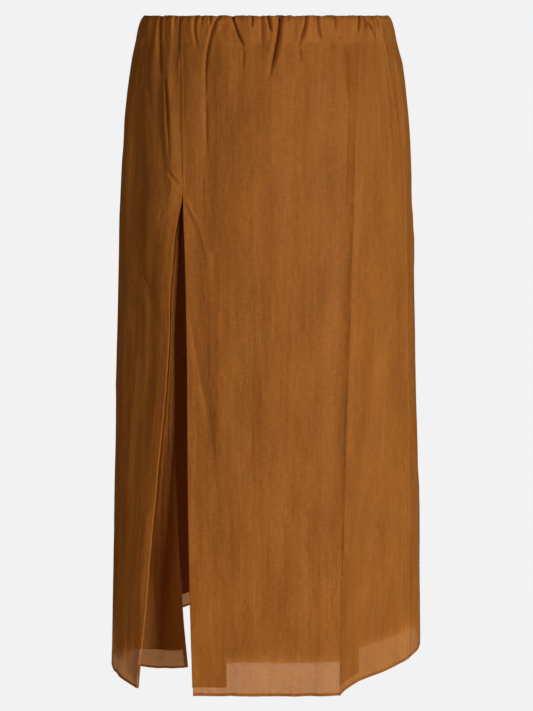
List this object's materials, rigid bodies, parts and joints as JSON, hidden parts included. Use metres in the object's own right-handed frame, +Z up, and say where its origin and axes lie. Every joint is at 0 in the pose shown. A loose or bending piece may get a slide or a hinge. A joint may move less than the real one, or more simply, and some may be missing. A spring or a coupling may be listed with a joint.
{
  "type": "maxi skirt",
  "caption": "Long lined skirt in its hollow worn form, with a gathered elastic waist, a flat front panel and a thigh-high slit beside it.",
  "frame": {"origin": "middle of the waist, half way up the elastic casing, where the wearer holds the skirt up", "axes": "+Z up towards the waist's opening, the front looks along -Y, +X towards the right of the front as seen"},
  "size_m": [0.4237, 0.2824, 0.85],
  "materials": {
    "casing_cloth": "plain weave with a soft sheen, gathered on elastic",
    "shell_cloth": "slightly sheer plain weave with a soft sheen",
    "lining_cloth": "slightly sheer plain weave"
  },
  "bodies": {
    "root": {"waist_casing": "casing_cloth", "front_panel": "shell_cloth", "right_panel": "shell_cloth", "back_panel": "shell_cloth", "left_panel": "shell_cloth", "slit_facing": "shell_cloth", "seam_facing": "shell_cloth", "slit_underlay": "shell_cloth", "lining_front": "lining_cloth", "lining_back": "lining_cloth", "lining_left": "lining_cloth"}
  },
  "joints": []
}
